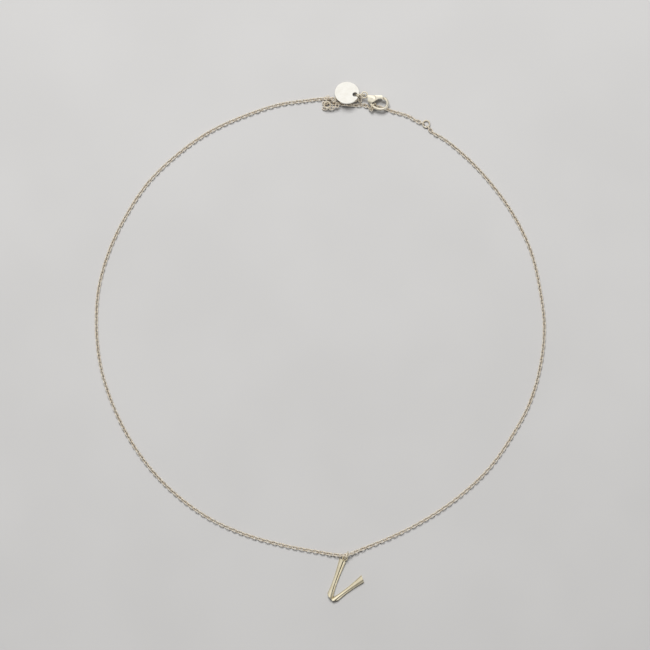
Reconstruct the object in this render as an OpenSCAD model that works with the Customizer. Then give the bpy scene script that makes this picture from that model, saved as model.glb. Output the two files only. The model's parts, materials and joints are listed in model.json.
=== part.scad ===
// Initial pendant: a V initial on a fine cable chain with a lobster clasp,
// an extension with sizing rings and a plain round tag, lying open on a flat surface.
// Millimetres, +Z up. The origin is under the middle of the whole necklace.

/* [Initial] */
// Length of the left leg along its middle
left_leg_length = 12.2; // [9:0.1:16]
// Length of the right leg along its middle
right_leg_length = 11.2; // [8:0.1:15]
// Width of the left leg at its free end
left_end_width = 2.3; // [2:0.05:3]
// Width of the left leg at its waist
left_waist_width = 1.5; // [1.3:0.05:2]
// Width of the left leg at the foot of the letter
left_foot_width = 2.3; // [1.8:0.05:2.6]
// Width of the right leg at its free end
right_end_width = 2.2; // [1.7:0.05:2.6]
// Width of the right leg at its waist
right_waist_width = 1.3; // [1.1:0.05:1.8]
// Width of the right leg at the foot of the letter
right_foot_width = 1.9; // [1.4:0.05:2.2]
// Lean of the left leg away from upright, in degrees
left_lean = 16; // [12:0.1:22]
// Lean of the right leg away from upright, in degrees
right_lean = 17.2; // [12:0.1:24]
// Height of the legs' middle line above the flat back
leg_axis_height = 0.35; // [0.2:0.05:0.6]
// Slant of the left leg's end face, in degrees
left_end_slant = 15; // [0:1:20]
// Slant of the right leg's end face, in degrees
right_end_slant = 18; // [0:1:20]
// Outside diameter of the eye soldered to the left leg
letter_eye_od = 1.7; // [1.6:0.05:2.2]
// Wire of that eye
letter_eye_wire = 0.4; // [0.3:0.02:0.45]

/* [Chain] */
// Outside length of one cable link
link_length = 1.8; // [1.7:0.02:2]
// Outside width of one cable link
link_width = 1.2; // [1.15:0.01:1.3]
// Wire of the links
link_wire = 0.28; // [0.2:0.01:0.3]
// Slack between two links when the chain lies drawn out
link_play = 0.19; // [0.1:0.01:0.3]

/* [Rings] */
// Outside diameter of the ring that carries the letter
pendant_ring_od = 2.7; // [2.6:0.05:3]
// Wire of the ring that carries the letter
pendant_ring_wire = 0.4; // [0.3:0.02:0.44]
// Outside diameter of the ring that joins the chain, the tag and the clasp
clasp_ring_od = 3.04; // [2.9:0.02:3.3]
// Wire of the ring that joins the chain, the tag and the clasp
clasp_ring_wire = 0.44; // [0.36:0.02:0.46]
// Outside diameter of the short sizing ring
short_ring_od = 2.4; // [2.2:0.05:3]
// Outside diameter of the ring that the clasp holds
held_ring_od = 2.5; // [2.4:0.05:2.8]
// Outside diameter of the ring on the chain's loose end
end_ring_od = 2.2; // [2:0.05:2.6]
// Wire of the sizing and end rings
sizing_ring_wire = 0.38; // [0.3:0.02:0.42]

/* [Clasp] */
// Thickness of the clasp's body
clasp_thick = 1.8; // [1.6:0.05:2]
// Wire of the clasp's hook
hook_wire = 0.8; // [0.6:0.02:0.86]
// Middle radius of the hook's round end
hook_end_r = 1.71; // [1.6:0.01:1.8]
// Middle radius of the hook's long lower side
hook_side_r = 3.7; // [3.4:0.05:4.2]
// Middle radius of the clasp's tail eye
tail_eye_r = 0.9; // [0.85:0.01:1]
// Wire of the clasp's tail eye
tail_eye_wire = 0.44; // [0.3:0.02:0.46]
// Diameter of the rivet that the lever turns on
rivet_d = 0.5; // [0.4:0.02:0.6]
// Gap between the rivet and each hole it passes through
rivet_gap = 0.03; // [0.02:0.01:0.06]
// Thickness of the lever's blade inside the clasp
blade_thick = 0.84; // [0.6:0.02:0.94]
// Gap between the lever and the clasp's body on every side
lever_gap = 0.08; // [0.05:0.01:0.12]

/* [Tag] */
// Diameter of the round tag
tag_d = 7.4; // [6.5:0.1:8]
// Thickness of the tag
tag_thick = 0.45; // [0.3:0.05:0.6]
// Diameter of the tag's hole
tag_hole_d = 1.5; // [1.3:0.05:1.6]
// Rim left between the tag's hole and its edge
tag_rim = 0.45; // [0.3:0.05:0.6]
// Rounding of the tag's edge
tag_edge = 0.1; // [0.04:0.02:0.14]

/* [Lying pose] */
// Turn of the letter on the surface, in degrees clockwise
letter_turn = 35.7; // [30:0.1:42]
// Direction of the pendant ring's plane, in degrees from +X
pendant_ring_turn = 65; // [55:1:70]
// Turn of the clasp on the surface, in degrees clockwise
clasp_turn = 21; // [15:1:25]
// Tilt of the tag on the chain under it, in degrees
tag_tilt = 25; // [20:1:28]

/* [Hidden] */

gold = [0.86, 0.80, 0.66];
pale_gold = [0.93, 0.90, 0.82];

// Roundness of wires and of larger turned shapes
wire_fn = 40;
turn_fn = 72;

// Chain link: bend radius, hole, pitch, and the place of a ring's wire in an end link
link_bend = (link_width - link_wire) / 2;
link_straight = link_length - link_width;
link_pitch = link_length - 2 * link_wire - link_play;
link_seat = link_straight / 2;
// Links lie with every other one rolled half a right angle each way
link_roll = 45;
chain_high = 2 * link_bend * sin(link_roll) + link_wire;
chain_axis_z = chain_high / 2 + 0.01;
standing_z = link_width / 2 + 0.02;
clear = 0.12;

// Vectors and smooth routes
function unit(v) = v / norm(v);
function flat_unit(angle) = [cos(angle), sin(angle), 0];
function slope_at(p, i) =
  i == 0 ? unit(p[1] - p[0]) :
  i == len(p) - 1 ? unit(p[i] - p[i - 1]) :
  let (before = norm(p[i] - p[i - 1]), after = norm(p[i + 1] - p[i]))
    (unit(p[i] - p[i - 1]) * after + unit(p[i + 1] - p[i]) * before) / (before + after);
// Between two points the route curves smoothly in plan, and its height eases from one to the other
function between(p, i, t) =
  let (h = norm(p[i + 1] - p[i]), ease = 3 * t^2 - 2 * t^3,
    q = (1 - ease) * p[i] + (t^3 - 2 * t^2 + t) * h * slope_at(p, i)
      + ease * p[i + 1] + (t^3 - t^2) * h * slope_at(p, i + 1))
    [q[0], q[1], (1 - ease) * p[i][2] + ease * p[i + 1][2]];
route_steps = 12;
function smooth(p) =
  [for (i = [0 : len(p) - 2], k = [0 : route_steps - 1]) between(p, i, k / route_steps), p[len(p) - 1]];
function running(q) =
  [for (i = 0, s = 0; i < len(q); s = s + (i < len(q) - 1 ? norm(q[i + 1] - q[i]) : 0), i = i + 1) s];
// A track is a smooth route with its running length beside each coordinate
function track(p) =
  let (q = smooth(p), s = running(q))
    [for (axis = [0 : 2]) [for (i = [0 : len(q) - 1]) [s[i], q[i][axis]]]];
function track_length(t) = t[0][len(t[0]) - 1][0];
function on_track(t, s) = [lookup(s, t[0]), lookup(s, t[1]), lookup(s, t[2])];
function along_track(t, s) = unit(on_track(t, s + link_bend) - on_track(t, s - link_bend));

// Roll that sets a link, lying along d, square to a wire that runs along w through it
function roll_for(d, w) =
  let (turn = atan2(d[1], d[0]), rise = asin(d[2]))
    atan2(w * [sin(turn), -cos(turn), 0],
      w * [-sin(rise) * cos(turn), -sin(rise) * sin(turn), cos(rise)]);
function nearest_half_turn(a) = a - 180 * round(a / 180);
// Rolls of a run of links: every other link square to its neighbours, and the first and
// last links eased over a few links to the rolls that their rings ask for
ease_links = 3;
function run_rolls(n, base, first_roll, last_roll) =
  let (first_off = nearest_half_turn(first_roll - base),
    last_off = nearest_half_turn(last_roll - base - 90 * (n - 1)))
    [for (i = [0 : n - 1]) base + 90 * i + first_off * max(0, 1 - i / ease_links)
      + last_off * max(0, 1 - (n - 1 - i) / ease_links)];
function fitted_count(length) = round(length / link_pitch);

// Points and wire directions round a ring with centre c, in the plane of a and b
function ring_point(c, a, b, r, angle) = c + r * (cos(angle) * a + sin(angle) * b);
function ring_wire_along(a, b, angle) = cos(angle) * b - sin(angle) * a;

// Pendant ring: it stands on the surface, and the chain rises through it
pendant_ring_r = (pendant_ring_od - pendant_ring_wire) / 2;
ring_across = flat_unit(pendant_ring_turn);
chain_in_ring = [0.1, 0.06];
chain_through_ring = [7.8, -63.5, pendant_ring_od / 2 + chain_in_ring[1]];
pendant_ring_at =
  [chain_through_ring[0], chain_through_ring[1], pendant_ring_od / 2] - chain_in_ring[0] * ring_across;

// Letter: it hangs from the pendant ring by its eye, and lies on its flat back
letter_high = 5;
letter_eye_r = (letter_eye_od - letter_eye_wire) / 2;
letter_eye_z = 0.83;
eye_reach = sqrt(pendant_ring_r^2 - (pendant_ring_od / 2 - letter_eye_z)^2);
letter_eye_at = [pendant_ring_at[0], pendant_ring_at[1], letter_eye_z] - eye_reach * ring_across;
left_foot_offset = 0.84;
right_foot_offset = 0.6;
leg_steps = 14;
waist_share = 0.42;
eye_sink = 0.12;
eye_side = 0.44;
foot_outline = [[-2.38, 1.2], [-1.48, 0.45], [-0.5, 0.2], [0.49, 0.05], [1.65, 1.16]];
foot_low = foot_outline[3];
left_leg_way = [-sin(left_lean), cos(left_lean)];
left_end = [-left_foot_offset, 0] + left_leg_length * left_leg_way;
eye_in_letter = left_end + (letter_eye_r + letter_eye_wire / 2 - eye_sink) * left_leg_way
  + eye_side * [left_leg_way[1], -left_leg_way[0]];

// Clasp ring: it stands on edge, and holds the tag, the clasp and the chain's left end link
clasp_ring_r = (clasp_ring_od - clasp_ring_wire) / 2;
clasp_ring_at = [11.9, 74.35, standing_z + clasp_ring_r];
clasp_ring_low = clasp_ring_at - [0, 0, clasp_ring_r];
// The chain leaves the ring by a standing and a flat link, and turns crosswise at the flat one
first_flat_at = clasp_ring_low - [0, link_seat + link_pitch, 0];
turn_step = link_length / 2 - link_wire / 2;
turn_side = 0.15;
left_start = first_flat_at - [turn_step, turn_side, 0];

// Clasp: its middle plane lies level, above the chain that passes under it
clasp_z = chain_high + clear + clasp_thick / 2;
tail_eye_at = [
  clasp_ring_at[0] + sqrt(clasp_ring_r^2 - (clasp_z - clasp_ring_at[2])^2), clasp_ring_at[1], clasp_z];
hook_end_at = [5.73, -0.55];
hook_join_angle = -63;
hook_base_angle = -133;
hook_tip_angle = 86;
hook_side_at = hook_end_at - (hook_side_r - hook_end_r) * [cos(hook_join_angle), sin(hook_join_angle)];
pivot_at = [2.4, -0.35];
cover_r = 1.12;
boss_r = 0.8;
heel_r = 1.4;
lever_reach = 3.29;
function round_pivot(r, angle) = pivot_at + r * [cos(angle), sin(angle)];
hook_join_at = hook_end_at + hook_end_r * [cos(hook_join_angle), sin(hook_join_angle)];
hook_tip_at = hook_end_at + hook_end_r * [cos(hook_tip_angle), sin(hook_tip_angle)];
function from_clasp(v) = [
  v[0] * cos(clasp_turn) + v[1] * sin(clasp_turn), v[1] * cos(clasp_turn) - v[0] * sin(clasp_turn), v[2]];

// Held ring: it hangs round the hook's lower side and leans along it
held_angle = -108.5;
held_lean = 22.5;
held_ring_r = (held_ring_od - sizing_ring_wire) / 2;
held_gap = 0.22;
held_drop = held_ring_r - (hook_wire + sizing_ring_wire) / 2 - held_gap;
held_inward = from_clasp([-cos(held_angle), -sin(held_angle), 0]);
held_along = from_clasp([-sin(held_angle), cos(held_angle), 0]);
held_up = [0, 0, cos(held_lean)] - sin(held_lean) * held_along;
held_normal = cos(held_lean) * held_along + [0, 0, sin(held_lean)];
held_ring_at = tail_eye_at - held_drop * held_up
  + from_clasp([hook_side_at[0] + hook_side_r * cos(held_angle),
      hook_side_at[1] + hook_side_r * sin(held_angle), 0]);
tail_hold_angle = -160;
extension_hold_angle = -65;
tail_hold = ring_point(held_ring_at, held_inward, held_up, held_ring_r, tail_hold_angle);
extension_hold = ring_point(held_ring_at, held_inward, held_up, held_ring_r, extension_hold_angle);

// Short sizing ring: it lies level, between the extension and the right end of the chain
short_ring_at = [31.7, 65.7, standing_z];
short_ring_r = (short_ring_od - sizing_ring_wire) / 2;
short_ring_right_angle = -62;
short_ring_left_angle = 172;
short_ring_right = short_ring_at + short_ring_r * flat_unit(short_ring_right_angle);
short_ring_left = short_ring_at + short_ring_r * flat_unit(short_ring_left_angle);

// The chain's route, from the clasp ring round the left side, the letter and the right side
chain_low = chain_axis_z;
chain_route = [
  left_start, [9, 72.85, 0.58], [7, 73, chain_low], [2, 73.3, chain_low],
  [-5, 72.6, chain_low], [-11.5, 71.7, chain_low], [-22.8, 68.1, chain_low],
  [-33.5, 63.2, chain_low], [-43.1, 56.4, chain_low], [-51.6, 48.2, chain_low],
  [-58.2, 38.4, chain_low], [-63.3, 27.8, chain_low], [-66.5, 16.4, chain_low],
  [-67.2, 4.7, chain_low], [-65.9, -7, chain_low], [-62.4, -18.2, chain_low],
  [-57.3, -28.6, chain_low], [-50.6, -38.1, chain_low], [-42.4, -46.2, chain_low],
  [-32.9, -52.8, chain_low], [-22.5, -57.4, chain_low], [-11.2, -60.6, chain_low],
  [0.3, -62.8, chain_low], [4, -63.4, 0.78], chain_through_ring,
  [11.3, -62.2, 0.85], [14.4, -61, chain_low], [22.9, -57.4, chain_low],
  [33, -52, chain_low], [42.3, -45.4, chain_low], [50.6, -37.5, chain_low],
  [57.2, -28.2, chain_low], [62.7, -18, chain_low], [65.9, -6.9, chain_low],
  [67.1, 4.6, chain_low], [65.8, 16.2, chain_low], [63.1, 27.5, chain_low],
  [58.1, 38, chain_low], [51.4, 47.5, chain_low], [43.4, 56, chain_low],
  [36, 61.8, chain_low], [33.8, 63, 0.58], short_ring_right];
letter_point = 24;
chain_track = track(chain_route);
chain_length = track_length(chain_track);
letter_s = chain_track[0][letter_point * route_steps][0];
left_count = fitted_count(letter_s);
left_pitch = letter_s / left_count;
right_count = fitted_count(chain_length - link_seat - letter_s);
right_pitch = (chain_length - link_seat - letter_s) / right_count;
left_end_count = 13;
letter_side_count = 2;
letter_link_roll = 14;
function left_s(i) = letter_s - i * left_pitch;
function right_s(i) = letter_s + i * right_pitch;
left_rolls = run_rolls(left_count + 1, link_roll - 90 * left_count, 90, letter_link_roll);
right_last_roll = roll_for(along_track(chain_track, chain_length - link_seat),
  flat_unit(short_ring_right_angle + 90));
right_rolls = run_rolls(right_count + 1, link_roll, letter_link_roll, right_last_roll);
link_end_room = link_length / 2 + clear;
tube_rings = 39;

// The extension's route, from the held ring to the short sizing ring
extension_route = [extension_hold, [18, 70.6, 0.75], [19.7, 70.2, 0.5], [21.2, 69.6, chain_low],
  [23.7, 68.9, chain_low], [26.4, 68, chain_low], [28.7, 66.7, 0.58], short_ring_left];
extension_track = track(extension_route);
extension_length = track_length(extension_track);
extension_count = fitted_count(extension_length - 2 * link_seat) + 1;
extension_pitch = (extension_length - 2 * link_seat) / (extension_count - 1);

// The tail's route, from the held ring under the clasp and the tag to its turning link
tail_turn_at = [1.35, 71.9, standing_z];
tail_route = [tail_hold, [14.5, 70.6, 0.75], [13.5, 71.2, chain_low], [10.4, 71.3, chain_low],
  [8, 71.5, chain_low], [3.6, 71.9, 0.58], tail_turn_at];
tail_track = track(tail_route);
tail_length = track_length(tail_track);
tail_count = fitted_count(tail_length - link_seat) + 1;
tail_pitch = (tail_length - link_seat) / (tail_count - 1);
// At the turn a standing link hangs crosswise between two flat ones. From there the chain curls
// back over itself in a small heap, and its end ring lies on the top
heap_route = [tail_turn_at - [0, 2 * turn_step, 0], [3.2, 70.4, 1.1], [5, 71.2, 1.6],
  [4, 72.9, 1.9], [1.7, 73.3, 1.9], [1.8, 72.6, 1.9]];
heap_track = track(heap_route);
heap_length = track_length(heap_track);
heap_count = fitted_count(heap_length) + 1;
heap_pitch = heap_length / (heap_count - 1);
end_ring_r = (end_ring_od - sizing_ring_wire) / 2;
end_ring_way = along_track(heap_track, heap_length);
end_ring_at = on_track(heap_track, heap_length) + (link_seat + end_ring_r) * end_ring_way;

// Tag: it leans on the chain, with its hole round the clasp ring
tag_hole_r = tag_d / 2 - tag_rim - tag_hole_d / 2;
tag_hole_angle = -15;
tag_low_gap = 0.02;
// The tag has slid this far from the clasp, along its hole's play on the ring
tag_slide = 0.28;
tag_z = tag_d / 2 * sin(tag_tilt) + tag_thick / 2 * cos(tag_tilt) + tag_low_gap;
tag_hole_off = [tag_hole_r * cos(tag_hole_angle), tag_hole_r * sin(tag_hole_angle) * cos(tag_tilt),
  -tag_hole_r * sin(tag_hole_angle) * sin(tag_tilt)];
tag_hole_z = tag_z + tag_hole_off[2];
tag_at = [
  clasp_ring_at[0] - sqrt(clasp_ring_r^2 - (tag_hole_z - clasp_ring_at[2])^2) - tag_hole_off[0] - tag_slide,
  clasp_ring_at[1] - tag_hole_off[1], tag_z];

// The whole necklace moves so that the origin lies under its middle: half way from the foot of
// the letter to the top of the tag, and half way across the chain
low_y = letter_eye_at[1]
  + (foot_low - eye_in_letter) * [-sin(letter_turn), cos(letter_turn)];
high_y = tag_at[1] + tag_d / 2 * cos(tag_tilt) + tag_edge * sin(tag_tilt);
middle = [0.07, -(low_y + high_y) / 2, 0];

module orient(d) {
  rotate([0, -asin(d[2]), atan2(d[1], d[0])]) children();
}

// A round wire ring with its middle at the origin and its axis along X
module wire_ring(od, wire) {
  rotate([0, 90, 0])
    rotate_extrude($fn = turn_fn)
      translate([(od - wire) / 2, 0])
        circle(d = wire, $fn = wire_fn);
}

// One oval link in the XY plane, its length along X
module link() {
  for (side = [-1, 1]) {
    translate([0, side * link_bend, 0])
      rotate([0, 90, 0])
        cylinder(h = link_straight, d = link_wire, center = true, $fn = wire_fn);
    translate([side * link_straight / 2, 0, 0])
      rotate([0, 0, side > 0 ? -90 : 90])
        rotate_extrude(angle = 180, $fn = wire_fn)
          translate([link_bend, 0])
            circle(d = link_wire, $fn = wire_fn);
  }
}

module link_at(t, s, roll) {
  translate(on_track(t, s))
    orient(along_track(t, s))
      rotate([roll, 0, 0])
        link();
}

// A plain eight-sided tube along a track, standing in for a long run of links
tube_sides = 8;
module chain_tube(t, from_s, to_s) {
  r = chain_axis_z / cos(180 / tube_sides);
  rings = [for (k = [0 : tube_rings - 1])
    let (s = from_s + (to_s - from_s) * k / (tube_rings - 1), c = on_track(t, s), d = along_track(t, s),
      left = unit([-d[1], d[0], 0]), up = cross(d, left))
      [for (j = [0 : tube_sides - 1])
        let (a = (j + 0.5) * 360 / tube_sides) c + r * (cos(a) * left + sin(a) * up)]];
  points = [for (ring = rings, q = ring) q];
  last = (tube_rings - 1) * tube_sides;
  sides = [for (k = [0 : tube_rings - 2], j = [0 : tube_sides - 1])
    let (a = k * tube_sides + j, b = k * tube_sides + (j + 1) % tube_sides)
      each [[a, a + tube_sides, b], [b, a + tube_sides, b + tube_sides]]];
  start_cap = [for (j = [0 : tube_sides - 1]) j];
  end_cap = [for (j = [tube_sides - 1 : -1 : 0]) last + j];
  polyhedron(points = points, faces = concat(sides, [start_cap, end_cap]));
}

// Width of a leg at a share of its length: narrow at the waist, flared to both ends
function leg_width(share, foot, waist, end) =
  share < waist_share
    ? waist + (foot - waist) * (1 - share / waist_share)^2
    : waist + (end - waist) * ((share - waist_share) / (1 - waist_share))^1.8;

// One round flared leg along +Y, its end face at y = long
module leg(long, foot, waist, end, slant) {
  over = 1;
  cut = 6;
  difference() {
    rotate([-90, 0, 0])
      rotate_extrude($fn = turn_fn)
        polygon(concat(
          [[0, -over], [foot / 2, -over]],
          [for (i = [0 : leg_steps])
            let (share = i / leg_steps * (1 + over / long))
              [leg_width(share, foot, waist, end) / 2, share * long]],
          [[0, long + over]]));
    translate([0, long, 0])
      rotate([0, 0, -slant])
        translate([-cut / 2, 0, -cut / 2])
          cube([cut, cut, cut]);
  }
}

module letter_v() {
  color(gold)
    translate(letter_eye_at)
      rotate([0, 0, -letter_turn])
        translate([-eye_in_letter[0], -eye_in_letter[1], -letter_eye_z]) {
          intersection() {
            union() {
              translate([-left_foot_offset, 0, leg_axis_height])
                rotate([0, 0, left_lean])
                  leg(left_leg_length, left_foot_width, left_waist_width, left_end_width, left_end_slant);
              translate([right_foot_offset, 0, leg_axis_height])
                rotate([0, 0, -right_lean])
                  leg(right_leg_length, right_foot_width, right_waist_width, right_end_width,
                    right_end_slant);
            }
            linear_extrude(letter_high)
              polygon(concat([[-9, 18], [-9, 6]], foot_outline, [[9, 9], [9, 18]]));
          }
          translate([eye_in_letter[0], eye_in_letter[1], letter_eye_z])
            rotate([0, -90, 0])
              wire_ring(letter_eye_od, letter_eye_wire);
        }
}

module pendant_ring() {
  color(gold)
    translate(pendant_ring_at)
      orient(flat_unit(pendant_ring_turn - 90))
        wire_ring(pendant_ring_od, pendant_ring_wire);
}

module pendant_links() {
  color(gold) {
    for (i = [0 : letter_side_count])
      link_at(chain_track, left_s(i), left_rolls[left_count - i]);
    for (i = [1 : letter_side_count])
      link_at(chain_track, right_s(i), right_rolls[i]);
  }
}

module left_end_links() {
  color(gold) {
    translate(clasp_ring_low - [0, link_seat, 0])
      rotate([90, 0, 90])
        link();
    translate(first_flat_at)
      rotate([0, 0, 90])
        link();
    for (i = [0 : left_end_count - 1])
      link_at(chain_track, i * left_pitch, left_rolls[i]);
  }
}

module right_end_links() {
  color(gold)
    for (i = [0 : 1])
      link_at(chain_track, right_s(right_count - i), right_rolls[right_count - i]);
}

module chain_left() {
  color(gold)
    chain_tube(chain_track, (left_end_count - 1) * left_pitch + link_end_room,
      left_s(letter_side_count) - link_end_room);
}

module chain_right() {
  color(gold)
    chain_tube(chain_track, right_s(letter_side_count) + link_end_room,
      right_s(right_count - 1) - link_end_room);
}

module clasp_ring() {
  color(gold)
    translate(clasp_ring_at)
      orient([0, 1, 0])
        wire_ring(clasp_ring_od, clasp_ring_wire);
}

module tag() {
  edge = tag_thick / 2 - tag_edge;
  edge_steps = 4;
  color(pale_gold)
    translate(tag_at)
      rotate([-tag_tilt, 0, 0])
        difference() {
          rotate_extrude($fn = 2 * turn_fn)
            polygon(concat(
              [[0, -tag_thick / 2]],
              [for (i = [0 : edge_steps])
                [tag_d / 2 - tag_edge + tag_edge * sin(90 * i / edge_steps),
                  -edge - tag_edge * cos(90 * i / edge_steps)]],
              [for (i = [0 : edge_steps])
                [tag_d / 2 - tag_edge + tag_edge * cos(90 * i / edge_steps),
                  edge + tag_edge * sin(90 * i / edge_steps)]],
              [[0, tag_thick / 2]]));
          translate([tag_hole_r * cos(tag_hole_angle), tag_hole_r * sin(tag_hole_angle), 0])
            cylinder(d = tag_hole_d, h = 2 * tag_thick, center = true, $fn = turn_fn);
        }
}

// Radius of the domed top and bottom faces of the clasp and its lever
dome_r = 2.6;
dome_long = 12;
base_dome_side = -0.4;
// Neck between the tail eye and the clasp's base
neck_d = 0.7;
neck_long = 0.9;
neck_side = -0.05;
// The balls at the hook's join and tip stand a little proud of its wire
hook_ball_d = hook_wire + 0.04;
// Pocket in the base for the lever's heel
pocket_long = 3;
pocket_wide = 4;

module in_clasp_place() {
  translate(tail_eye_at)
    rotate([0, 0, -clasp_turn])
      children();
}

base_outline = concat(
  [[0.88, 0.12], [1.6, 0.43], [2, 0.58], [2.5, 0.78]],
  [for (angle = [76 : -12 : -56]) round_pivot(cover_r, angle)],
  [[2.95, -1.45], [2.5, -2.1], [2.05, -1.85], [1.54, -1.5], [1.1, -0.4]]);

module clasp_body() {
  color(gold)
    in_clasp_place() {
      difference() {
        union() {
          intersection() {
            translate([0, 0, -clasp_thick / 2])
              linear_extrude(clasp_thick)
                polygon(base_outline);
            intersection_for (side = [-1, 1])
              translate([0, base_dome_side, side * (dome_r - clasp_thick / 2)])
                rotate([0, 90, 0])
                  cylinder(r = dome_r, h = dome_long, center = true, $fn = 2 * turn_fn);
          }
          translate([hook_side_at[0], hook_side_at[1], 0])
            rotate([0, 0, hook_base_angle])
              rotate_extrude(angle = hook_join_angle - hook_base_angle, $fn = 2 * turn_fn)
                translate([hook_side_r, 0])
                  circle(d = hook_wire, $fn = wire_fn);
          translate([hook_end_at[0], hook_end_at[1], 0])
            rotate([0, 0, hook_join_angle])
              rotate_extrude(angle = hook_tip_angle - hook_join_angle, $fn = turn_fn)
                translate([hook_end_r, 0])
                  circle(d = hook_wire, $fn = wire_fn);
          for (at = [hook_join_at, hook_tip_at])
            translate([at[0], at[1], 0])
              sphere(d = hook_ball_d, $fn = wire_fn);
          rotate([0, -90, 0])
            wire_ring(2 * tail_eye_r + tail_eye_wire, tail_eye_wire);
          translate([tail_eye_r, neck_side, 0])
            rotate([0, 90, 0])
              cylinder(d = neck_d, h = neck_long, $fn = wire_fn);
        }
        translate([pivot_at[0], pivot_at[1], 0]) {
          cylinder(r = boss_r + lever_gap, h = blade_thick + 2 * lever_gap, center = true, $fn = turn_fn);
          intersection() {
            cylinder(r = heel_r, h = blade_thick + 2 * lever_gap, center = true, $fn = turn_fn);
            translate([0, -pocket_wide / 2, -clasp_thick])
              cube([pocket_long, pocket_wide, 2 * clasp_thick]);
          }
          cylinder(d = rivet_d + 2 * rivet_gap, h = 2 * clasp_thick, center = true, $fn = wire_fn);
        }
      }
    }
}

lever_outline = concat(
  [[2.4, 0.4], [2.75, 0.84], [3.2, 1.05], [4, 1.35], [4.6, 1.58], [4.95, 1.68]],
  [for (angle = [37 : -4 : 21]) round_pivot(lever_reach, angle)],
  [for (angle = [-135 : 20 : -75]) hook_tip_at + (hook_wire / 2 + lever_gap) * [cos(angle), sin(angle)]],
  [[5.86, 0.56], [5.5, 0.6], [5, 0.7], [4.6, 0.58], [4.24, 0.3], [3.95, -0.2], [3.7, -0.55], [3.38, -0.9],
    [3, -1.1], [2.4, -1.1]]);
lever_thick = 1.3;
lever_dome_turn = 14;
lever_dome_x = 1;
// Room cut on both sides of the lever's blade for the clasp's cheeks
cheek_room = 0.2;
cheek_cut = 1;

module clasp_lever() {
  color(pale_gold)
    in_clasp_place()
      difference() {
        union() {
          intersection() {
            translate([0, 0, -lever_thick / 2])
              linear_extrude(lever_thick)
                polygon(lever_outline);
            intersection_for (side = [-1, 1])
              translate([lever_dome_x, 0, side * (dome_r - lever_thick / 2)])
                rotate([0, 90, lever_dome_turn])
                  cylinder(r = dome_r, h = dome_long, center = true, $fn = 2 * turn_fn);
          }
          translate([pivot_at[0], pivot_at[1], 0])
            cylinder(r = boss_r, h = blade_thick, center = true, $fn = turn_fn);
        }
        translate([pivot_at[0], pivot_at[1], 0]) {
          cylinder(d = rivet_d + 2 * rivet_gap, h = 2 * clasp_thick, center = true, $fn = wire_fn);
          for (side = [-1, 1])
            translate([0, 0, side * (blade_thick + cheek_cut) / 2])
              cylinder(r = cover_r + cheek_room, h = cheek_cut, center = true, $fn = turn_fn);
        }
      }
}

module clasp_rivet() {
  color(gold)
    in_clasp_place()
      translate([pivot_at[0], pivot_at[1], 0])
        cylinder(d = rivet_d, h = clasp_thick, center = true, $fn = wire_fn);
}

module held_ring() {
  color(gold)
    translate(held_ring_at)
      orient(held_normal)
        wire_ring(held_ring_od, sizing_ring_wire);
}

module extension_links() {
  rolls = run_rolls(extension_count, link_roll,
    roll_for(along_track(extension_track, link_seat),
      ring_wire_along(held_inward, held_up, extension_hold_angle)),
    roll_for(along_track(extension_track, extension_length - link_seat),
      flat_unit(short_ring_left_angle + 90)));
  color(gold)
    for (i = [0 : extension_count - 1])
      link_at(extension_track, link_seat + i * extension_pitch, rolls[i]);
}

module short_ring() {
  color(gold)
    translate(short_ring_at)
      orient([0, 0, 1])
        wire_ring(short_ring_od, sizing_ring_wire);
}

module tail_links() {
  rolls = run_rolls(tail_count, link_roll,
    roll_for(along_track(tail_track, link_seat), ring_wire_along(held_inward, held_up, tail_hold_angle)), 0);
  heap_rolls = run_rolls(heap_count, 0, 0, 90);
  color(gold) {
    for (i = [0 : tail_count - 1])
      link_at(tail_track, link_seat + i * tail_pitch, rolls[i]);
    translate(tail_turn_at - [turn_side, turn_step, 0])
      rotate([90, 0, 90])
        link();
    for (i = [0 : heap_count - 1])
      link_at(heap_track, i * heap_pitch, heap_rolls[i]);
  }
}

module end_ring() {
  color(gold)
    translate(end_ring_at)
      orient(unit([0, 0, 1] - end_ring_way[2] * end_ring_way))
        wire_ring(end_ring_od, sizing_ring_wire);
}

translate(middle) {
  letter_v();
  pendant_ring();
  pendant_links();
  chain_left();
  chain_right();
  left_end_links();
  clasp_ring();
  tag();
  clasp_body();
  clasp_lever();
  clasp_rivet();
  held_ring();
  extension_links();
  short_ring();
  right_end_links();
  tail_links();
  end_ring();
}
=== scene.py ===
import json
import math

import bpy
import numpy as np
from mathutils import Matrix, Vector


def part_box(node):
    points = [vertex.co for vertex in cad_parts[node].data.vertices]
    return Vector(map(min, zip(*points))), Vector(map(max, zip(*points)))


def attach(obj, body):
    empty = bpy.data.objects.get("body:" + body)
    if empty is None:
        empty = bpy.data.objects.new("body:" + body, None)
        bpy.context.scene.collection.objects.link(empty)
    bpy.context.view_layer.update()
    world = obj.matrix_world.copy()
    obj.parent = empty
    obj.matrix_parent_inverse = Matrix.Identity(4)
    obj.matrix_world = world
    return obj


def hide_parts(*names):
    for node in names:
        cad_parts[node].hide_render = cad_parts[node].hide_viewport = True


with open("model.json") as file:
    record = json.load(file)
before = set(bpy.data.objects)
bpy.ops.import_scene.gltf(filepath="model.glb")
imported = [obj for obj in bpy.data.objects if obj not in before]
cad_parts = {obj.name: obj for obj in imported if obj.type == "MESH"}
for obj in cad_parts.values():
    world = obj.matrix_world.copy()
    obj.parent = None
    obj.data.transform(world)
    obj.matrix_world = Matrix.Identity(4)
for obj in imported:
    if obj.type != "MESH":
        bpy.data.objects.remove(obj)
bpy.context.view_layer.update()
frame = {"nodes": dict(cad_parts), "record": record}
mm = 0.001

# Places are in the necklace's own millimetres, and `shift` takes them to the frame
clasp_ring_at = np.array([11.9, 74.35, 1.92])
shift = np.array(sum(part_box("clasp_ring"), Vector())) / 2 / mm - clasp_ring_at
shift[2] = 0

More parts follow.
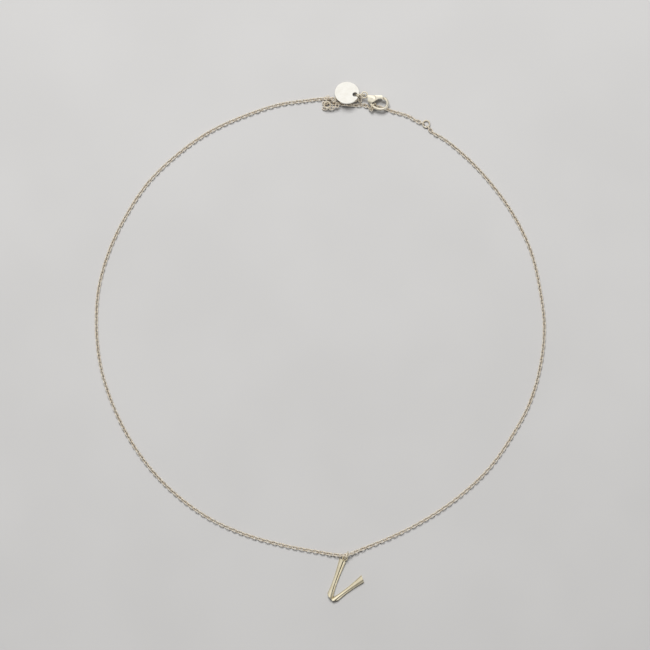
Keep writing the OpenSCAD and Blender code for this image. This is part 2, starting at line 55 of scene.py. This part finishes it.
# The camera stands straight above the necklace. The picture is square and 195 mm wide on the floor.
picture_width = 195 * mm
picture_centre = (1.35, 5.4)
camera_height = 1.2
camera_data = bpy.data.cameras.new("camera")
camera_data.sensor_width = 36
camera_data.lens = camera_data.sensor_width * camera_height / picture_width
camera_data.clip_start = 0.01
camera_data.clip_end = 10
camera = bpy.data.objects.new("camera", camera_data)
camera.location = (*(picture_centre + shift[:2]) * mm, camera_height)
bpy.context.collection.objects.link(camera)
bpy.context.scene.camera = camera
bpy.context.scene.view_settings.view_transform = "Standard"


# Materials: each is a small tree of procedural nodes round one Principled shader
class Tree:
    def __init__(self, name):
        self.material = bpy.data.materials.new(name)
        self.material.use_nodes = True
        self.nodes = self.material.node_tree.nodes
        self.links = self.material.node_tree.links
        self.shader = self.nodes["Principled BSDF"]
        self.place = self.nodes.new("ShaderNodeTexCoord").outputs["Object"]

    def join(self, source, socket):
        self.links.new(source, socket)

    def stretched(self, scale, turn=0):
        """Coordinates scaled by an (x, y, z) triple after a turn about Z, for directional grain."""
        node = self.nodes.new("ShaderNodeMapping")
        node.vector_type = "TEXTURE"
        node.inputs["Rotation"].default_value = (0, 0, turn)
        node.inputs["Scale"].default_value = scale
        self.join(self.place, node.inputs["Vector"])
        return node.outputs["Vector"]

    def noise(self, size, detail=3, vector=None):
        """Noise with features about `size` metres across."""
        node = self.nodes.new("ShaderNodeTexNoise")
        node.inputs["Scale"].default_value = 1 / size
        node.inputs["Detail"].default_value = detail
        self.join(vector or self.place, node.inputs["Vector"])
        return node.outputs["Fac"]

    def ranged(self, value, low, high, start=0.3, end=0.7):
        node = self.nodes.new("ShaderNodeMapRange")
        node.interpolation_type = "SMOOTHSTEP"
        for socket, number in zip(("From Min", "From Max", "To Min", "To Max"), (start, end, low, high)):
            node.inputs[socket].default_value = number
        self.join(value, node.inputs["Value"])
        return node.outputs["Result"]

    def blend(self, factor, first, second):
        node = self.nodes.new("ShaderNodeMix")
        node.data_type = "RGBA"
        for socket, colour in (("A", first), ("B", second)):
            if isinstance(colour, tuple):
                node.inputs[socket].default_value = (*colour, 1)
            else:
                self.join(colour, node.inputs[socket])
        self.join(factor, node.inputs["Factor"])
        return node.outputs["Result"]

    def openness(self, reach):
        """1 where nothing is near, less where other metal or the floor is within `reach` metres."""
        node = self.nodes.new("ShaderNodeAmbientOcclusion")
        node.inputs["Distance"].default_value = reach
        return node.outputs["AO"]

    def bump(self, height, depth, normal=None):
        """Bump whose full height is `depth` metres."""
        node = self.nodes.new("ShaderNodeBump")
        node.inputs["Distance"].default_value = depth
        self.join(height, node.inputs["Height"])
        if normal:
            self.join(normal, node.inputs["Normal"])
        return node.outputs["Normal"]


cloud_size, wave_size, grain_size = 1.6 * mm, 1.1 * mm, 0.12 * mm
# Painted shade: how near other metal or the floor must be, and the openness range over which the colour is
# darkened toward the painted shade tint
painted_shade_reach, painted_shade_range = 1.2 * mm, (0.15, 0.65)


def metal(name, pale, deep, smooth, rough, wave, grain, turn=0, grain_shape=(1, 1, 1), painted_shade_tint=None):
    """Polished plating: two tints in soft clouds, a fine grain in the gloss, and a slight wave.
    Painted shade and painted reflection: where other metal or the floor lies near (ambient occlusion), the
    base colour nears `painted_shade_tint`, standing in for wires that shade and mirror one another."""
    tree = Tree(name)
    tree.shader.inputs["Metallic"].default_value = 1
    clouds = tree.ranged(tree.noise(cloud_size, 4), 0, 1)
    colour = tree.blend(clouds, pale, deep)
    # Painted shade: the base colour is darkened toward a brown tint where other metal or the floor is near
    if painted_shade_tint:
        colour = tree.blend(tree.ranged(tree.openness(painted_shade_reach), 0, 1, *painted_shade_range), painted_shade_tint, colour)
    tree.join(colour, tree.shader.inputs["Base Color"])
    scratches = tree.noise(grain_size, 2, tree.stretched(grain_shape, turn))
    tree.join(tree.ranged(scratches, smooth, rough), tree.shader.inputs["Roughness"])
    waves = tree.bump(tree.noise(wave_size, 1), wave)
    tree.join(tree.bump(scratches, grain, waves), tree.shader.inputs["Normal"])
    return tree.material


letter_gold = metal("letter_gold", (0.86, 0.79, 0.60), (0.77, 0.69, 0.50), 0.12, 0.22,
                    wave=0.004 * mm, grain=0.0008 * mm, grain_shape=(1, 6, 1), turn=-0.6)
# The ring, chain and clasp metals carry a painted shade tint where their wires crowd together
ring_gold = metal("ring_gold", (0.97, 0.90, 0.74), (0.86, 0.76, 0.58), 0.12, 0.24,
                  wave=0.003 * mm, grain=0.0008 * mm, painted_shade_tint=(0.34, 0.24, 0.12))
chain_gold = metal("chain_gold", (1.0, 0.94, 0.82), (0.94, 0.84, 0.69), 0.22, 0.34,
                   wave=0.002 * mm, grain=0.001 * mm, painted_shade_tint=(0.48, 0.35, 0.21))
tag_gold = metal("tag_gold", (0.91, 0.90, 0.85), (0.87, 0.85, 0.79), 0.09, 0.14,
                 wave=0.002 * mm, grain=0.0006 * mm, grain_shape=(8, 1, 1), turn=0.35)
clasp_gold = metal("clasp_gold", (0.98, 0.93, 0.80), (0.92, 0.85, 0.68), 0.12, 0.20,
                   wave=0.004 * mm, grain=0.0008 * mm, grain_shape=(6, 1, 1), turn=-0.37,
                   painted_shade_tint=(0.30, 0.20, 0.09))
metals = {"letter_gold": letter_gold, "ring_gold": ring_gold, "chain_gold": chain_gold,
          "tag_gold": tag_gold, "clasp_gold": clasp_gold}

# Every CAD node keeps its shape and takes its slot's metal
for part in frame["record"]["subparts"]:
    node = frame["nodes"][part["node"]]
    node.data.materials.clear()
    node.data.materials.append(metals[part["material_slot"]])
    node.data.polygons.foreach_set("use_smooth", [True] * len(node.data.polygons))


# The chain's two long runs, link by link, on the route that the CAD's tubes follow
link_long, link_wide, link_wire, link_play = 1.8, 1.2, 0.28, 0.19
bend_r = (link_wide - link_wire) / 2
straight = link_long - link_wide
pitch = link_long - 2 * link_wire - link_play
lie_roll, letter_roll, ring_roll = 45, 14, 90
above_floor = 0.01
low = (2 * bend_r * math.sin(math.radians(lie_roll)) + link_wire) / 2 + above_floor
pendant_ring_r, chain_above_middle = 1.35, 0.06
ring_through_z = pendant_ring_r + chain_above_middle
standing_z = 0.62
turn_step, turn_side = (link_long - link_wire) / 2, 0.15
start = (clasp_ring_at[0] - turn_step, clasp_ring_at[1] - straight / 2 - pitch - turn_side, standing_z)
short_ring_at, short_ring_r, short_ring_turn = (31.7, 65.7), 1.01, math.radians(-62)
end = (short_ring_at[0] + short_ring_r * math.cos(short_ring_turn),
       short_ring_at[1] + short_ring_r * math.sin(short_ring_turn), standing_z)
route = [
    start, (9, 72.85, 0.58), (7, 73, low), (2, 73.3, low), (-5, 72.6, low), (-11.5, 71.7, low),
    (-22.8, 68.1, low), (-33.5, 63.2, low), (-43.1, 56.4, low), (-51.6, 48.2, low), (-58.2, 38.4, low),
    (-63.3, 27.8, low), (-66.5, 16.4, low), (-67.2, 4.7, low), (-65.9, -7, low), (-62.4, -18.2, low),
    (-57.3, -28.6, low), (-50.6, -38.1, low), (-42.4, -46.2, low), (-32.9, -52.8, low),
    (-22.5, -57.4, low), (-11.2, -60.6, low), (0.3, -62.8, low), (4, -63.4, 0.78),
    (7.8, -63.5, ring_through_z),
    (11.3, -62.2, 0.85), (14.4, -61, low), (22.9, -57.4, low), (33, -52, low), (42.3, -45.4, low),
    (50.6, -37.5, low), (57.2, -28.2, low), (62.7, -18, low), (65.9, -6.9, low), (67.1, 4.6, low),
    (65.8, 16.2, low), (63.1, 27.5, low), (58.1, 38, low), (51.4, 47.5, low), (43.4, 56, low),
    (36, 61.8, low), (33.8, 63, 0.58), end,
]
letter_point = 24
steps = 12
ease_links = 3
# Links that the CAD draws itself at the left end, on each side of the letter and at the short ring
near_end, near_letter, near_ring = 13, 2, 1


def unit(v):
    return v / np.linalg.norm(v)


def slope(p, i):
    if i == 0:
        return unit(p[1] - p[0])
    if i == len(p) - 1:
        return unit(p[i] - p[i - 1])
    before, after = np.linalg.norm(p[i] - p[i - 1]), np.linalg.norm(p[i + 1] - p[i])
    return (unit(p[i] - p[i - 1]) * after + unit(p[i + 1] - p[i]) * before) / (before + after)


def smooth_route(points):
    """The route as a fine line, curved in plan and eased in height, with its running length."""
    p = [np.array(q, float) for q in points]
    line = []
    for i in range(len(p) - 1):
        h = np.linalg.norm(p[i + 1] - p[i])
        for t in np.arange(steps) / steps:
            ease = 3 * t**2 - 2 * t**3
            q = ((1 - ease) * p[i] + (t**3 - 2 * t**2 + t) * h * slope(p, i)
                 + ease * p[i + 1] + (t**3 - t**2) * h * slope(p, i + 1))
            q[2] = (1 - ease) * p[i][2] + ease * p[i + 1][2]
            line.append(q)
    line = np.array(line + [p[-1]])
    return line, np.concatenate([[0], np.cumsum(np.linalg.norm(np.diff(line, axis=0), axis=1))])


line, run = smooth_route(route)


def at(s):
    return np.array([np.interp(s, run, line[:, k]) for k in range(3)])


def along(s):
    return unit(at(s + bend_r) - at(s - bend_r))


def rolls(count, base, last):
    """Every other link square to its neighbours, and the last few eased to a roll of their own."""
    off = last - base - 90 * (count - 1)
    off -= 180 * round(off / 180)
    return [base + 90 * k + off * max(0, 1 - (count - 1 - k) / ease_links) for k in range(count)]


letter_s = run[letter_point * steps]
left_count = round(letter_s / pitch)
right_room = run[-1] - straight / 2 - letter_s
right_count = round(right_room / pitch)
left_pitch, right_pitch = letter_s / left_count, right_room / right_count
left_rolls = rolls(left_count + 1, lie_roll - 90 * left_count, letter_roll)
right_rolls = rolls(right_count + 1, lie_roll, ring_roll)

# One link: a round wire round an oval, its length along X
bend_steps, wire_sides = 11, 10
turns = np.radians(np.linspace(-90, 90, bend_steps))
half = np.stack([straight / 2 + bend_r * np.cos(turns), bend_r * np.sin(turns), 0 * turns], 1)
out = np.stack([np.cos(turns), np.sin(turns), 0 * turns], 1)
flip = np.array([-1, -1, 1])
middle_line = np.concatenate([half, half * flip])
outward = np.concatenate([out, out * flip])
round_wire = 2 * math.pi * np.arange(wire_sides) / wire_sides
link_shape = (middle_line[:, None] + link_wire / 2 * (
    np.cos(round_wire)[None, :, None] * outward[:, None]
    + np.sin(round_wire)[None, :, None] * np.array([0, 0, 1]))).reshape(-1, 3)
rings = len(middle_line)
i, j = np.meshgrid(np.arange(rings), np.arange(wire_sides), indexing="ij")
i2, j2 = (i + 1) % rings, (j + 1) % wire_sides
link_faces = np.stack([i * wire_sides + j, i2 * wire_sides + j, i2 * wire_sides + j2, i * wire_sides + j2],
                      -1).reshape(-1, 4)


def placed(s, roll):
    """The link's points at running length s, rolled about its length."""
    d = along(s)
    side = unit(np.array([-d[1], d[0], 0]))
    up = np.cross(d, side)
    a = math.radians(roll)
    y, z = math.cos(a) * side + math.sin(a) * up, math.cos(a) * up - math.sin(a) * side
    return link_shape @ np.stack([d, y, z]) + at(s) + shift


def chain(name, node, places):
    points = np.concatenate([placed(s, roll) for s, roll in places]) * mm
    faces = np.concatenate([link_faces + k * len(link_shape) for k in range(len(places))])
    mesh = bpy.data.meshes.new(name)
    mesh.from_pydata(points.tolist(), [], faces.tolist())
    mesh.polygons.foreach_set("use_smooth", [True] * len(mesh.polygons))
    mesh.materials.append(chain_gold)
    piece = bpy.data.objects.new(name, mesh)
    bpy.context.collection.objects.link(piece)
    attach(piece, "necklace")
    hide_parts(node)


chain("chain_left_run", "chain_left",
      [(k * left_pitch, left_rolls[k]) for k in range(near_end, left_count - near_letter)])
chain("chain_right_run", "chain_right",
      [(letter_s + k * right_pitch, right_rolls[k])
       for k in range(near_letter + 1, right_count - near_ring)])

# Floor: plain and pale, just under the necklace
floor_size, floor_drop = 4, 0.01 * mm
bpy.ops.mesh.primitive_plane_add(size=floor_size, location=(0, 0, -floor_drop))
floor = bpy.context.object
floor.name = "floor"
tree = Tree("floor_pale")
tree.shader.inputs["Roughness"].default_value = 0.9
tree.shader.inputs["Specular IOR Level"].default_value = 0.2
tree.join(tree.blend(tree.ranged(tree.noise(40 * mm, 2), 0, 1), (0.46, 0.455, 0.45), (0.445, 0.44, 0.435)),
          tree.shader.inputs["Base Color"])
floor.data.materials.append(tree.material)

# Light: an even pale room, brighter to the north and low in the south-east, with a dark patch between
# overhead and there, and one large soft lamp for the faint shadows
world = bpy.data.worlds.new("studio")
bpy.context.scene.world = world
world.use_nodes = True
sky, wire_up = world.node_tree.nodes, world.node_tree.links
look = sky.new("ShaderNodeTexCoord").outputs["Generated"]
room_light = 0.3
room_on_matt = 0.4
darkest = 0.04


def toward(azimuth, from_top):
    a, t = math.radians(azimuth), math.radians(from_top)
    return (math.cos(a) * math.sin(t), math.sin(a) * math.sin(t), math.cos(t))


def patch(azimuth, from_top, inner, outer, amount):
    """A soft round patch of the room, `amount` brighter within `inner` degrees of its middle."""
    dot = sky.new("ShaderNodeVectorMath")
    dot.operation = "DOT_PRODUCT"
    dot.inputs[1].default_value = toward(azimuth, from_top)
    wire_up.new(look, dot.inputs[0])
    spread = sky.new("ShaderNodeMapRange")
    spread.interpolation_type = "SMOOTHSTEP"
    spread.inputs["From Min"].default_value = math.cos(math.radians(outer))
    spread.inputs["From Max"].default_value = math.cos(math.radians(inner))
    spread.inputs["To Max"].default_value = amount
    wire_up.new(dot.outputs["Value"], spread.inputs["Value"])
    return spread.outputs["Result"]


total = None
for value in (patch(130, 30, 42, 75, 0.55), patch(85, 45, 22, 42, 0.2), patch(100, 32, 8, 20, 0.4),
              patch(-36, 27, 10, 22, -0.8), patch(-36, 68, 16, 26, 0.8)):
    add = sky.new("ShaderNodeMath")
    add.operation = "ADD"
    if total is None:
        add.inputs[0].default_value = room_light
    else:
        wire_up.new(total, add.inputs[0])
    wire_up.new(value, add.inputs[1])
    total = add.outputs["Value"]
never_black = sky.new("ShaderNodeMath")
never_black.operation = "MAXIMUM"
never_black.inputs[1].default_value = darkest
wire_up.new(total, never_black.inputs[0])
# Matt surfaces get less of the room than polished ones show, which leaves the shadows deeper
matt = sky.new("ShaderNodeMapRange")
matt.inputs["To Min"].default_value = 1
matt.inputs["To Max"].default_value = room_on_matt
wire_up.new(sky.new("ShaderNodeLightPath").outputs["Is Diffuse Ray"], matt.inputs["Value"])
share = sky.new("ShaderNodeMath")
share.operation = "MULTIPLY"
wire_up.new(never_black.outputs["Value"], share.inputs[0])
wire_up.new(matt.outputs["Result"], share.inputs[1])
background = sky["Background"]
background.inputs["Color"].default_value = (1, 0.99, 0.975, 1)
wire_up.new(share.outputs["Value"], background.inputs["Strength"])

lamp_data = bpy.data.lights.new("key", "AREA")
lamp_data.shape = "SQUARE"
lamp_data.size = 0.5
lamp_data.energy = 18.7
lamp = bpy.data.objects.new("key", lamp_data)
lamp.location = (-0.1, 0.62, 1)
lamp.rotation_euler = (-Vector(lamp.location)).to_track_quat("-Z", "Y").to_euler()
lamp.visible_glossy = False
bpy.context.collection.objects.link(lamp)
